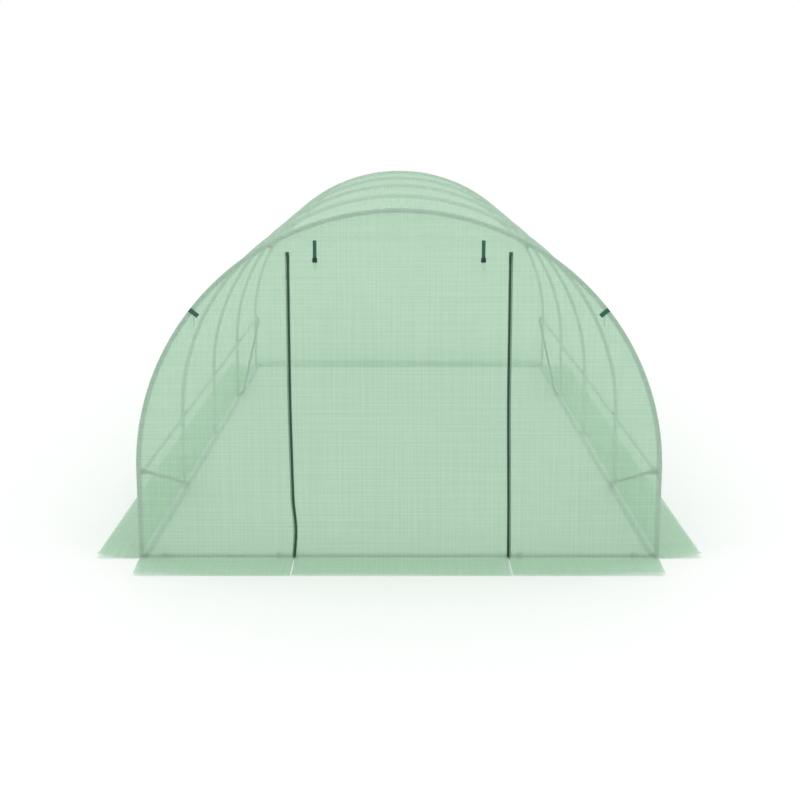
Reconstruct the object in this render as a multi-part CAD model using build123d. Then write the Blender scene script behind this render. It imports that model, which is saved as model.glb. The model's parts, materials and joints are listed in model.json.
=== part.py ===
from build123d import *
import os
from math import cos, degrees, hypot, pi, radians, sin

os.makedirs("parts", exist_ok=True)

# A walk-in polytunnel greenhouse: five steel hoops, rails from hoop to hoop, and a film cover
# with a zipped door flap. X runs across it, Y along it with the door at -Y, and Z up from the
# ground. All sizes are in millimetres.

# Frame: driving dimensions
hoop_span = 3000.0  # between the centres of a hoop's two legs
springing = 520.0  # height at which the straight legs turn into the bow
bay_length = 1500.0  # from hoop to hoop
bay_count = 4
hoop_tube = 25.0  # outside diameter
hoop_wall = 1.2
rail_tube = 19.0  # outside diameter of rails, sills and braces
tube_sides = 8  # flats that stand for a tube's round
hoop_lap = 60.0  # length of each swaged end inside the next tube
swage_play = 0.2  # between a swaged end and the bore around it
side_arc = 61.0  # degrees of bow in each side tube, the crown tube takes the rest
ground_rail_height = 14.0
tab_thick = 2.4  # a tube end pressed flat, two walls thick
tab_length = 40.0  # flat stretch of a rail, from the bolt to the press mark
tab_inset = 2.0  # from a tab's end to the outer side of the hoop behind it
press_length = 30.0  # from the flat tab to the full round tube
stack_gap = 0.3  # between parts that share a bolt
washer_across = 24.0
sill_setback = 10.0  # from the end hoop's plane to the sill tube

# Cover: driving dimensions
film = 2.0  # thickness of the film panels
film_gap = 0.3  # between the film and what it lies on
side_skirt = 260.0  # film lying on the ground beside the tunnel
end_skirt = 290.0  # and at its two ends
gable_depth = 183.0  # from the top of the cover to the seam that carries the door flap
zip_drop = 62.0  # from that seam to the tops of the zips
door_width = 1250.0  # between the middles of the zips
zip_tape = 24.0
zip_chain = 6.0
zip_chain_rise = 1.8  # of the chain above the tape
slider_length = 22.0
slider_width = 12.0
slider_thick = 5.0
pull_length = 34.0
pull_width = 7.0
skirt_slit = 10.0

# Trim: driving dimensions
strap_width = 20.0
strap_thick = 1.6
strap_length = 95.0
strap_spacing = 943.0  # between the two door straps
buckle_width = 27.0
buckle_length = 26.0
buckle_thick = 5.0
buckle_bar = 4.0
tail_length = 40.0
tail_width = 15.0
guy_tab_angle = 38.7  # degrees above the springing
guy_tab_length = 60.0
guy_tab_width = 25.0
guy_tab_thick = 3.0
guy_tab_overhang = 6.0  # beyond the edge of the end wall
tie_width = 26.0
tie_band = 1.5
tie_play = 0.6  # between a tie and its tube
tie_gap = 0.3  # between a tie's ends and the cover
hoop_tie_angle = 20.5  # degrees above the springing
sill_tie_inset = 135.0  # from the middle of a leg to the sill tie beside it
sill_tie_gap = 75.0  # from the foot of a zip to the sill tie beside it

# Sizes that follow
bow_radius = hoop_span / 2
tunnel_length = bay_length * bay_count
hoop_ys = [-tunnel_length / 2 + bay_length * i for i in range(bay_count + 1)]
tab_width = pi * rail_tube / 2 - tab_thick  # the tube's girth, pressed flat
leg_rim = springing - hoop_lap / 2
side_rim = springing + bow_radius * radians(side_arc) - hoop_lap / 2
hoop_length = 2 * springing + pi * bow_radius
bore = hoop_tube - 2 * hoop_wall
spigot = bore - 2 * swage_play
seat_radius = bow_radius - hoop_tube / 2  # inner side of a hoop, where the rails sit
tab_end = hoop_tube / 2 - tab_inset  # flat stretch beyond the bolt
layer_pitch = tab_thick + stack_gap
rail_axis = stack_gap + rail_tube / 2  # rails run along the hoops' inner sides
brace_axis = rail_axis + rail_tube + stack_gap  # and braces pass inside the rails
film_inner = bow_radius + hoop_tube / 2 + film_gap
film_outer = film_inner + film
end_inner = tunnel_length / 2 + hoop_tube / 2 + film_gap  # inner face of the end walls
door_head = springing + film_outer - gable_depth
zip_top = door_head - zip_drop


def save(name, solids):
    """Write one node, made of solids that don't touch."""
    export_step(Compound(label=name, children=list(solids)), f"parts/{name}.step")


def both_sides(solid):
    """A solid and its mirror image across the tunnel's middle."""
    return [solid, mirror(solid, about=Plane.YZ)]


def tube_section(diameter):
    """A tube's outline: flats, with one facing each axis of the sketch."""
    return RegularPolygon(diameter / 2, tube_sides, major_radius=False, rotation=180 / tube_sides)


def bow_plane(angle):
    """The plane across a hoop this many degrees up its bow, with Y along the tunnel's axis."""
    turn = radians(180 - angle)
    spot = (bow_radius * cos(turn), 0, springing + bow_radius * sin(turn))
    return Plane(origin=spot, x_dir=(0, 1, 0), z_dir=(sin(turn), 0, -cos(turn)))


def hoop_bar(start, end, diameter):
    """A stretch of bar along a hoop, between two lengths measured up it from the left foot."""
    section = tube_section(diameter)
    pieces = []
    if start < springing:
        foot = Pos(0, 0, start - springing) * bow_plane(0)
        pieces.append(extrude(foot * section, amount=min(end, springing) - start))
    if end > springing:
        first = degrees(max(start - springing, 0) / bow_radius)
        bend = degrees((end - springing) / bow_radius) - first
        centre = Axis((0, 0, springing), (0, 1, 0))
        pieces.append(revolve(bow_plane(first) * section, axis=centre, revolution_arc=bend))
    return Part() + pieces


def make_leg():
    """A straight leg. Its swaged top end plugs into the side tube."""
    return hoop_bar(0, leg_rim, hoop_tube) + hoop_bar(leg_rim, leg_rim + hoop_lap, spigot)


def make_side_tube():
    """The bent tube above a leg: bored at the foot for the leg, swaged at the top."""
    body = hoop_bar(leg_rim, side_rim, hoop_tube)
    socket = hoop_bar(leg_rim, leg_rim + hoop_lap + swage_play, bore)
    return body - socket + hoop_bar(side_rim, side_rim + hoop_lap, spigot)


def make_crown_tube():
    """The bent tube over the middle, bored at both ends for the side tubes."""
    body = hoop_bar(side_rim, hoop_length - side_rim, hoop_tube)
    socket = hoop_bar(side_rim, side_rim + hoop_lap + swage_play, bore)
    for cut in both_sides(socket):
        body -= cut
    return body


def make_hoops():
    leg, side_tube, crown_tube = make_leg(), make_side_tube(), make_crown_tube()
    save("left_legs", [Pos(0, y, 0) * leg for y in hoop_ys])
    save("right_legs", [Pos(0, y, 0) * mirror(leg, about=Plane.YZ) for y in hoop_ys])
    save("left_side_tubes", [Pos(0, y, 0) * side_tube for y in hoop_ys])
    save("right_side_tubes", [Pos(0, y, 0) * mirror(side_tube, about=Plane.YZ) for y in hoop_ys])
    save("crown_tubes", [Pos(0, y, 0) * crown_tube for y in hoop_ys])


def layer_middle(layer):
    """Distance from the hoop's inner side to the middle of a tab in this layer of a stack."""
    return stack_gap + tab_thick / 2 + layer * layer_pitch


def pressed_end(axis, tab_middle, flat_length):
    """A tube end pressed flat, along +X from the press mark to the tab's end.

    The round tube's axis is at Z = axis, and the flat tab's middle at Z = tab_middle.
    """
    ring = Plane.YZ * Pos(0, axis) * tube_section(rail_tube)
    side, low = tab_width / 2, tab_middle - tab_thick / 2
    flat_end = [(press_length, y, z) for y in (-side, side) for z in (low, low + tab_thick)]
    press = ConvexPolyhedron([tuple(corner) for corner in ring.vertices()] + flat_end)
    clip, tip = tab_width / 4, press_length + flat_length
    outline = Polygon(
        (press_length, -side), (tip - clip, -side), (tip, clip - side),
        (tip, side - clip), (tip - clip, side), (press_length, side), align=None,
    )
    return press + Pos(0, 0, low) * extrude(outline, amount=tab_thick)


def make_strut(length, first_layer, last_layer, axis, flat):
    """A rail or brace along +X from bolt to bolt, with both ends pressed flat.

    Z is the distance from the hoop's inner side, each layer a place in the bolt's stack, and
    flat the flat stretch between a bolt and the press mark.
    """
    first, last = layer_middle(first_layer), layer_middle(last_layer)
    shoulder = flat + press_length
    barrel_plane = Plane(origin=(shoulder, 0, axis), x_dir=(0, 1, 0), z_dir=(1, 0, 0))
    barrel = extrude(barrel_plane * tube_section(rail_tube), amount=length - 2 * shoulder)
    far_end = Pos(length - shoulder, 0, 0) * pressed_end(axis, last, flat + tab_end)
    near_end = mirror(pressed_end(axis, first, flat + tab_end), about=Plane.YZ)
    return barrel + far_end + Pos(shoulder, 0, 0) * near_end


def rail_seat(angle):
    """The hoop's inner side this many degrees above the left springing: a place and a way in."""
    turn = radians(180 - angle)
    place = (seat_radius * cos(turn), springing + seat_radius * sin(turn))
    return place, (-cos(turn), 0, -sin(turn))


def make_rail_run(place, inward):
    """Rails in a row, one for each bay, each with its far tab over the next rail's near tab."""
    rail = make_strut(bay_length, 0, 1, rail_axis, tab_length)
    return [
        Plane(origin=(place[0], y, place[1]), x_dir=(0, 1, 0), z_dir=inward) * rail
        for y in hoop_ys[:-1]
    ]


def make_washer(place, inward):
    """The washer that fills the first layer at the last hoop."""
    seat = Plane(origin=(place[0], hoop_ys[-1], place[1]), x_dir=(0, 1, 0), z_dir=inward)
    disc = extrude(tube_section(washer_across), amount=tab_thick)
    return seat * Pos(0, 0, stack_gap) * disc


def make_rails():
    rows = {
        "ground_rails": ((-seat_radius, ground_rail_height), (1, 0, 0)),
        "side_rails": ((-seat_radius, springing), (1, 0, 0)),
        "roof_rails": rail_seat(side_arc),
    }
    washers = []
    for name, (place, inward) in rows.items():
        run = make_rail_run(place, inward)
        save(f"left_{name}", run)
        save(f"right_{name}", [mirror(rail, about=Plane.YZ) for rail in run])
        washers += both_sides(make_washer(place, inward))
    save("rail_washers", washers)


def make_brace(top_hoop, foot_hoop, top_layer, foot_layer):
    """A brace from the side rail's bolt on an end hoop down to the next hoop's foot.

    It crosses the rails at a slant, so its flat ends stop at the corner of their press marks.
    """
    run, fall = hoop_ys[foot_hoop] - hoop_ys[top_hoop], ground_rail_height - springing
    length = hypot(run, fall)
    flat = (tab_length * abs(run) - tab_width / 2 * abs(fall)) / length
    top = Plane(
        origin=(-seat_radius, hoop_ys[top_hoop], springing),
        x_dir=(0, run / length, fall / length),
        z_dir=(1, 0, 0),
    )
    return top * make_strut(length, top_layer, foot_layer, brace_axis, flat)


def make_sill(foot_layer):
    """The tube between an end hoop's legs, its flat ends bent round onto their inner sides."""
    bend = seat_radius - layer_middle(foot_layer)  # middle of the bent foot
    shoulder = bend - press_length - tab_width / 2
    barrel_plane = Plane(origin=(0, 0, 0), x_dir=(0, 1, 0), z_dir=(1, 0, 0))
    barrel = extrude(barrel_plane * tube_section(rail_tube), amount=shoulder)
    end_plane = Plane(origin=(shoulder, 0, 0), x_dir=(1, 0, 0), z_dir=(0, 1, 0))
    end = end_plane * pressed_end(0, 0, tab_width / 2)
    foot_length = sill_setback + tab_end + tab_thick / 2
    foot = Pos(bend, (tab_thick - foot_length) / 2, 0) * Box(tab_thick, foot_length, tab_width)
    half = barrel + end + foot
    sill = half + mirror(half, about=Plane.YZ)
    return Pos(0, hoop_ys[0] + sill_setback, ground_rail_height) * sill


def make_braces_and_sills():
    save("front_braces", both_sides(make_brace(0, 1, 1, 2)))
    save("rear_braces", both_sides(make_brace(-1, -2, 2, 2)))
    save("front_sill", [make_sill(1)])
    save("rear_sill", [mirror(make_sill(2), about=Plane.XZ)])


def arch_face(radius, floor):
    """The tunnel's end-on outline at this bow radius, down to a level near the ground."""
    walls = Pos(0, (springing + floor) / 2) * Rectangle(2 * radius, springing - floor)
    bow = Pos(0, springing) * (Circle(radius) & Pos(0, radius / 2) * Rectangle(2 * radius, radius))
    return walls + bow


def bow_sector(first, last):
    """The part of the end-on outline between two angles above the left springing."""
    reach = 2 * film_outer
    corners = [(0, 0)]
    for angle in (first, (first + last) / 2, last):
        turn = radians(180 - angle)
        corners.append((reach * cos(turn), reach * sin(turn)))
    return Pos(0, springing) * Polygon(*corners, align=None)


def make_cover():
    """The film over the hoops, in five lengthwise panels from one end wall to the other."""
    along = Plane.XZ.offset(-end_inner)
    shell = arch_face(film_outer, film) - arch_face(film_inner, film)
    above = Pos(0, springing + film_outer) * Rectangle(4 * film_outer, 2 * film_outer)
    wall_height = springing - film
    wall = Pos(-(film_inner + film / 2), 0, film + wall_height / 2) * Box(film, 2 * end_inner, wall_height)
    bow = shell & above
    haunch = extrude(along * (bow & bow_sector(0, side_arc)), amount=2 * end_inner)
    crown = extrude(along * (bow & bow_sector(side_arc, 180 - side_arc)), amount=2 * end_inner)
    save("cover_left_wall", [wall])
    save("cover_right_wall", [mirror(wall, about=Plane.YZ)])
    save("cover_left_haunch", [haunch])
    save("cover_right_haunch", [mirror(haunch, about=Plane.YZ)])
    save("cover_crown", [crown])


def zip_strip(width, foot, head):
    """A strip of this width along the right-hand zip, in the end-on plane."""
    return Pos(door_width / 2, (foot + head) / 2) * Rectangle(width, head - foot)


def on_front(face, thick=film, behind=0.0):
    """An end-on face as a sheet that stands this far in front of the front wall's inner face."""
    return extrude(Plane.XZ.offset(end_inner + behind) * face, amount=thick)


def make_front_wall():
    """The front wall: a gable above the door head, a panel each side, and the door flap."""
    wall = arch_face(film_outer, film)
    side_width = 2 * film_outer
    below = Pos(0, door_head / 2) * Rectangle(2 * side_width, door_head)
    doorway = Pos(0, door_head / 2) * Rectangle(door_width, door_head)
    right_side = Pos(side_width / 2, door_head / 2) * Rectangle(side_width, door_head)
    slot = zip_strip(zip_tape, 0, zip_top)
    door = (wall & doorway) - slot - mirror(slot, about=Plane.YZ)
    save("front_gable", [on_front(wall - below)])
    right_panel = on_front((wall & right_side) - doorway - slot)
    save("front_right_panel", [right_panel])
    save("front_left_panel", [mirror(right_panel, about=Plane.YZ)])
    save("door_flap", [on_front(door)])
    save("rear_wall", [mirror(on_front(wall), about=Plane.XZ)])


def make_zips():
    """Each zip: a tape in the film with the closed chain standing out, and its slider at the top."""
    tape = on_front(zip_strip(zip_tape, film, zip_top))
    chain = on_front(zip_strip(zip_chain, film, zip_top), zip_chain_rise, film)
    whole = tape + chain
    save("right_zip", [whole])
    save("left_zip", [mirror(whole, about=Plane.YZ)])
    slider_face = zip_strip(slider_width, zip_top - slider_length, zip_top)
    pull_foot = zip_top - slider_length - pull_length
    pull_face = zip_strip(pull_width, pull_foot, zip_top - slider_length / 2)
    front = film + zip_chain_rise + stack_gap
    slider = on_front(slider_face, slider_thick, front) + on_front(pull_face, film, front + slider_thick)
    save("zip_sliders", both_sides(slider))


def make_skirts():
    """The film that lies on the ground outside the walls, slit below each zip at the front."""
    wide, deep = film + side_skirt, film + end_skirt
    side = Pos(film_inner + wide / 2, 0, film / 2) * Box(wide, 2 * end_inner, film)
    save("right_skirt", [side])
    save("left_skirt", [mirror(side, about=Plane.YZ)])
    middle_y = -(end_inner + deep / 2)
    rear = Pos(0, -middle_y, film / 2) * Box(2 * film_outer, deep, film)
    save("rear_skirt", [rear])
    door_skirt = Pos(0, middle_y, film / 2) * Box(door_width - skirt_slit, deep, film)
    save("door_skirt", [door_skirt])
    inner, outer = (door_width + skirt_slit) / 2, film_outer
    front = Pos((inner + outer) / 2, middle_y, film / 2) * Box(outer - inner, deep, film)
    save("front_skirts", both_sides(front))


def make_door_straps():
    """Two webbing straps from the door head, each with a buckle and a tail, to hold the rolled flap."""
    middle_x = strap_spacing / 2
    strap_foot = door_head - strap_length
    strap = Pos(middle_x, door_head - strap_length / 2) * Rectangle(strap_width, strap_length)
    save("door_straps", both_sides(on_front(strap, strap_thick, film)))
    bar_length = buckle_width - 2 * buckle_bar
    slot_height = (buckle_length - 3 * buckle_bar) / 2
    buckle_middle = strap_foot - buckle_length / 2
    buckle = chamfer(Rectangle(buckle_width, buckle_length).vertices(), buckle_bar / 2)
    for side in (-1, 1):
        buckle -= Pos(0, side * (slot_height + buckle_bar) / 2) * Rectangle(bar_length, slot_height)
    save("strap_buckles", both_sides(on_front(Pos(middle_x, buckle_middle) * buckle, buckle_thick, film)))
    tail_middle = strap_foot - buckle_length - tail_length / 2
    tail = Pos(middle_x, tail_middle) * Rectangle(tail_width, tail_length)
    save("strap_tails", both_sides(on_front(tail, strap_thick, film)))


def make_guy_tabs():
    """Webbing tabs sewn over the edges of both end walls, that stand out past the cover."""
    turn = radians(guy_tab_angle)
    middle = film_outer + guy_tab_overhang - guy_tab_length / 2
    place = Pos(middle * cos(turn), springing + middle * sin(turn)) * Rot(0, 0, guy_tab_angle)
    tab = on_front(place * Rectangle(guy_tab_length, guy_tab_width), guy_tab_thick, film)
    front = both_sides(tab)
    save("guy_tabs", front + [mirror(tab, about=Plane.XZ) for tab in front])


def make_tie(diameter, reach):
    """A film band round a tube. Its ends run back along -X to the cover this far from the axis."""
    inner = diameter / 2 + tie_play
    outer = inner + tie_band
    loop = tube_section(2 * outer) - tube_section(2 * inner)
    half = loop & Pos(outer, 0) * Rectangle(2 * outer, 4 * outer)
    tail = Pos(-reach / 2, (inner + outer) / 2) * Rectangle(reach, tie_band)
    return extrude(half + tail + mirror(tail, about=Plane.XZ), amount=tie_width / 2, both=True)


def make_ties():
    """Bands that hold the cover to the three inner hoops, the ground rails and the sills."""
    tie = make_tie(hoop_tube, film_inner - bow_radius - tie_gap)
    hoop_tie = bow_plane(hoop_tie_angle) * Rot(0, 0, -90) * tie
    save("hoop_ties", [t for y in hoop_ys[1:-1] for t in both_sides(Pos(0, y, 0) * hoop_tie)])
    rail_x = seat_radius - rail_axis
    rail_tie = make_tie(rail_tube, film_inner - rail_x - tie_gap)
    rail_ties = []
    for y in hoop_ys[:-1]:
        seat = Plane(
            origin=(-rail_x, y + bay_length / 2, ground_rail_height),
            x_dir=(1, 0, 0),
            z_dir=(0, 1, 0),
        )
        rail_ties += both_sides(seat * rail_tie)
    save("ground_rail_ties", rail_ties)
    sill_y = hoop_ys[0] + sill_setback
    sill_tie = make_tie(rail_tube, end_inner + sill_y - tie_gap)
    sill_ties = []
    for x in (bow_radius - sill_tie_inset, door_width / 2 + sill_tie_gap):
        seat = Plane(origin=(x, sill_y, ground_rail_height), x_dir=(0, 1, 0), z_dir=(1, 0, 0))
        sill_ties += both_sides(seat * sill_tie)
    save("front_sill_ties", sill_ties)
    save("rear_sill_ties", [mirror(tie, about=Plane.XZ) for tie in sill_ties])


make_hoops()
make_rails()
make_braces_and_sills()
make_cover()
make_front_wall()
make_zips()
make_skirts()
make_door_straps()
make_guy_tabs()
make_ties()
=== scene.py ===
# %% [markdown]
# A walk-in polytunnel, dressed for its picture. Five galvanised hoops, the rails and braces between
# them, the zips' sliders and the buckles come with the frame. They are rigid, so they stay and only
# get a finish. What is soft gets made here: the woven film over the hoops, the end walls with their
# door flap, the skirts on the ground, the zip tapes, the webbing and the ties. All places are read
# from the frame, in metres, with X across the tunnel, the door at -Y and Z up from the ground.

# %% Load the frame
import json
from math import atan2, ceil, cos, hypot, pi, radians, sin

import bpy
from mathutils import Matrix, Vector, noise


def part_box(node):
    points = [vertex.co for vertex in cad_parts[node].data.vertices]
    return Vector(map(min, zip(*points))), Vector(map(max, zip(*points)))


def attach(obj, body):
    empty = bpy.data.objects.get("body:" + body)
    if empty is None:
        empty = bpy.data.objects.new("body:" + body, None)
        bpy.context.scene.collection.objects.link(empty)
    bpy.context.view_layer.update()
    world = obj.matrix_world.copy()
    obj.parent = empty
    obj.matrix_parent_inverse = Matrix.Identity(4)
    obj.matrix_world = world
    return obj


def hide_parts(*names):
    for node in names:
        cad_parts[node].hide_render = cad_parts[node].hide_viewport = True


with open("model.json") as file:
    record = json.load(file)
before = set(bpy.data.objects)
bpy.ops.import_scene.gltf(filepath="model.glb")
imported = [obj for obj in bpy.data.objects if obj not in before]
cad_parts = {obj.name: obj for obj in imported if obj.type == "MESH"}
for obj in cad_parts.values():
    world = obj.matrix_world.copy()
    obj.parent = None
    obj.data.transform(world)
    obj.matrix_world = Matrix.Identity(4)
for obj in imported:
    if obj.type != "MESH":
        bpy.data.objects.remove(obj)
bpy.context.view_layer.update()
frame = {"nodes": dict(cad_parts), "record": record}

# %% [markdown]
# The camera comes first. The photograph was taken straight on from the door end, from above the
# roof, with the lens tilted down a little less than the tunnel's place in the picture needs. The
# rest is the small vertical shift that a view camera gives, which keeps the legs upright.

# %% Camera
camera_place = (0.0, -10.070, 2.481)
camera_pitch = 10.018  # degrees below level
camera_lens = 56.98  # millimetres, on a 36 mm sensor
camera_shift = (0.0011, -0.0625)

camera_data = bpy.data.cameras.new("camera")
camera_data.lens = camera_lens
camera_data.shift_x, camera_data.shift_y = camera_shift
camera = bpy.data.objects.new("camera", camera_data)
camera.location = camera_place
camera.rotation_euler = (radians(90 - camera_pitch), 0, 0)
bpy.context.scene.collection.objects.link(camera)
bpy.context.scene.camera = camera
bpy.context.scene.view_settings.view_transform = "Standard"
print("camera at", camera_place, "with a lens of", camera_lens, "mm")

# %% [markdown]
# Film is cut and welded in straight lines, so most of the modelling below is one move: start from
# a primitive, slice it with planes, extrude its edges. These helpers name those moves. Everything
# is deselected before each step, because an operator works on all that is selected.

# %% Start a piece
touch = 1e-4  # points closer than this count as one place


def start_fresh():
    bpy.ops.object.select_all(action="DESELECT")


def edit():
    bpy.ops.object.mode_set(mode="EDIT")


def leave():
    bpy.ops.object.mode_set(mode="OBJECT")


def name_it(name):
    """Name the primitive that was just added, and return it."""
    piece = bpy.context.active_object
    piece.name = piece.data.name = name
    return piece


def begin(name):
    """Name the new primitive, put its place into its mesh, and go into edit mode."""
    piece = name_it(name)
    bpy.ops.object.transform_apply()
    edit()
    return piece


# %% [markdown]
# Each step works on faces or edges that are picked by where they lie. Clicking on them is quicker
# on screen, but a test of their place still finds them when the piece is made at another size.

# %% Pick, slice and pull
def pick(piece, kind, test):
    """In edit mode, select the faces whose middle passes the test, or the edges that do whole."""
    leave()
    bpy.context.tool_settings.mesh_select_mode = (False, kind == "EDGE", kind == "FACE")
    mesh = piece.data
    for group in (mesh.vertices, mesh.edges, mesh.polygons):
        group.foreach_set("select", [False] * len(group))
    if kind == "EDGE":
        for edge in mesh.edges:
            a, b = (mesh.vertices[i].co for i in edge.vertices)
            edge.select = test((a + b) / 2) and test(a) and test(b)
    else:
        for face in mesh.polygons:
            face.select = test(face.center)
    edit()


def pick_all():
    bpy.ops.mesh.select_all(action="SELECT")


def slice_all(place, normal, drop_front=False, drop_back=False):
    """Cut the whole mesh with a plane, and drop what lies in front of it or behind it."""
    pick_all()
    bpy.ops.mesh.bisect(
        plane_co=place, plane_no=normal, clear_outer=drop_front, clear_inner=drop_back,
    )


def pull(step):
    """Extrude what is selected by a step."""
    bpy.ops.mesh.extrude_region_move(TRANSFORM_OT_translate={"value": tuple(step)})


# %% [markdown]
# The cover's second half, the rows of teeth and the thickness of a strip come from modifiers. They
# could be left live, but the folds have to move the real points of a mesh, so each is applied at
# once.

# %% Modifiers
def make_active(piece):
    """Select one piece and nothing else."""
    start_fresh()
    piece.select_set(True)
    bpy.context.view_layer.objects.active = piece


def shape_by(piece, kind, **values):
    """Add a modifier with these values, and apply it."""
    modifier = piece.modifiers.new(kind.lower(), kind)
    for key, value in values.items():
        setattr(modifier, key, value)
    make_active(piece)
    bpy.ops.object.modifier_apply(modifier=modifier.name)


# %% [markdown]
# Everything soft is fitted to the rigid frame, so its sizes are measured from the frame's parts.
# They could be typed in, but a measured size still fits when the frame is built at another size.

# %% Sizes read from the frame
wall_low, wall_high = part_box("cover_right_wall")
film_x = (wall_low.x + wall_high.x) / 2  # middle of the film on the side walls
clearance = 0.0003  # between solids that lie on each other
springing = wall_high.z  # where the straight wall turns into the bow
film_radius = film_x
rear_low, rear_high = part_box("rear_wall")
end_y = (rear_low.y + rear_high.y) / 2  # middle of the film on the end walls
skirt_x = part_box("right_skirt")[1].x
skirt_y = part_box("rear_skirt")[1].y
skirt_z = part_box("rear_skirt")[1].z / 2
door_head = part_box("door_flap")[1].z
leg_low, leg_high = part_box("left_legs")
hoop_tube = leg_high.x - leg_low.x
hoop_count = 5
first_hoop = leg_low.y + hoop_tube / 2
bay = -2 * first_hoop / (hoop_count - 1)
hoop_radius = film_radius - (wall_high.x - wall_low.x) / 2 - clearance - hoop_tube / 2
rail_low, rail_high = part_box("right_ground_rails")
rail_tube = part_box("front_sill")[1].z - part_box("front_sill")[0].z
zip_low, zip_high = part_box("right_zip")
print("film radius", round(film_radius, 4), "bay", round(bay, 3), "hoops", round(hoop_radius, 4))

# %% [markdown]
# The zips are sewn in upright, but they hang as cloth does: both drift a little to the right
# towards the ground, and the left one bulges just above its foot. The film beside them goes along,
# so the drift is one function that every piece near a zip uses.

# %% The zips' line
zip_tape = zip_high.x - zip_low.x
zip_line = (zip_low.x + zip_high.x) / 2  # distance of each zip from the tunnel's middle
zip_top = zip_high.z
zip_drift = 0.013  # to the right, at the ground
zip_bulge = 0.012  # of the left zip, to the right
bulge_height = 0.175


def ease(value, reach):
    """From 0 at an edge to 1 at this reach from it, smoothly."""
    share = max(0.0, min(1.0, value / reach))
    return share * share * (3 - 2 * share)


def zip_sway(co):
    """How far the film at this point is carried sideways with the zips."""
    near = 1 - ease(abs(abs(co.x) - zip_line), 0.35)
    sway = zip_drift * (1 - ease(co.z, 1.1))
    if co.x < 0:
        sway += zip_bulge * (1 - ease(abs(co.z - bulge_height), 0.2))
    return sway * near


print("zips at", round(zip_line, 3), "up to", round(zip_top, 3))

# %% [markdown]
# Film is never flat. It is tight over the hoops and hollow between them, it drags in long shallow
# folds from one hold to the next, and where it lies on the ground it lifts in low waves. Cloth
# simulation of a sheet of forty square metres is slow and would need every tie modelled as a pin,
# so the folds here are worked out: smooth noise, stretched along the pull of the cloth, that fades
# to nothing where the film is held.

# %% The film's slack
film_grid = 0.037  # size of the film's mesh
bay_hollow = 0.0105  # how far the film sinks between two hoops before it meets the rails
fold_depth = 0.0035
crease_depth = 0.0012


def folds(along, across, seed):
    """Long folds, with finer creases on them, between about -1 and 1."""
    long_fold = noise.noise(Vector((along * 1.3, across * 5.5, seed)))
    crease = noise.noise(Vector((along * 5.0, across * 17.0, seed + 7.3)))
    return long_fold * fold_depth + crease * crease_depth


def ground_wave(along, out, seed):
    """How high a skirt lifts off the ground, this far out from the wall."""
    lift = 0.5 + 0.5 * noise.noise(Vector((along * 2.1, out * 1.5, seed)))
    ripple = 0.5 + 0.5 * noise.noise(Vector((along * 9.0, out * 4.0, seed + 3.1)))
    reach = out / (skirt_x - film_x)
    return 0.009 * lift * reach ** 2 + 0.004 * ripple * reach


# %% [markdown]
# The cover is one sheet: up one side, over the hoops and down the other, and out along the ground
# as a skirt on each side. It could be a bent plane, but a cylinder already has the bow. It is
# sliced in half at the springing, its lower edge is pulled down to the ground and out along it, and
# the half is mirrored. Slices across it then give a mesh fine enough for folds. The hems are the
# outer strips of the skirts and of both ends. Film is doubled there, which shows as a strip that
# lets less light through, so they get a second material and not a second layer.

# %% The cover over the hoops
hem = 0.025
turn_radius = 0.012  # of the film's turn from wall to ground
turn_steps = 3
bow_sides = 256  # of a whole circle


def girth_place(co):
    """Distance from the crown along the cover's cross-section, positive on the right."""
    side = 1 if co.x >= 0 else -1
    x = abs(co.x)
    if co.z >= springing:
        return side * film_radius * atan2(x, co.z - springing)
    if x <= film_x + touch:
        return side * (film_radius * pi / 2 + springing - co.z)
    return side * (film_radius * pi / 2 + springing + x - film_x)


def lay_on_ground(out, flat):
    """Draw what is selected round from upright to level, and out along the ground."""
    for i in range(turn_steps):
        a, b = (pi / 2 * (i + n) / turn_steps for n in (0, 1))
        pull(turn_radius * ((cos(a) - cos(b)) * out + Vector((0, 0, sin(a) - sin(b)))))
    steps = ceil(flat / film_grid)
    for _ in range(steps):
        pull(flat / steps * out)


def make_cover():
    start_fresh()
    bpy.ops.mesh.primitive_cylinder_add(
        vertices=bow_sides, radius=film_radius, depth=2 * end_y, end_fill_type="NOTHING",
        location=(0, 0, springing), rotation=(pi / 2, 0, 0),
    )
    piece = begin("tunnel_cover")
    slice_all((0, 0, springing), (0, 0, 1), drop_back=True)
    slice_all((0, 0, springing), (1, 0, 0), drop_back=True)
    wall_height = springing - skirt_z - turn_radius
    steps = ceil(wall_height / film_grid)
    pick(piece, "EDGE", lambda co: co.z < springing + touch)
    for _ in range(steps):
        pull((0, 0, -wall_height / steps))
    lay_on_ground(Vector((1, 0, 0)), skirt_x - film_x - turn_radius)
    leave()
    shape_by(piece, "MIRROR", merge_threshold=touch)
    edit()
    count = round(2 * end_y / film_grid)
    places = [-end_y + 2 * end_y * i / count for i in range(1, count)]
    for y in places + [hem - end_y, end_y - hem]:
        slice_all((0, y, 0), (0, 1, 0))
    for x in (hem - skirt_x, skirt_x - hem):
        slice_all((x, 0, 0), (1, 0, 0))
    pick_all()
    bpy.ops.mesh.normals_make_consistent(inside=False)
    leave()
    return piece


cover = make_cover()
print("cover cut into", len(cover.data.polygons), "faces")

# %% [markdown]
# Every finished piece ends in the same way: its place goes into its mesh, and it rides on the
# tunnel, which has no moving part. The solid that it was fitted to could stay inside it, but it
# would show through film, so that solid is hidden.

# %% Smooth and settle
def smooth(piece, degrees=50):
    """Shade a piece smoothly, but for edges sharper than this."""
    make_active(piece)
    bpy.ops.object.shade_smooth_by_angle(angle=radians(degrees))


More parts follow.
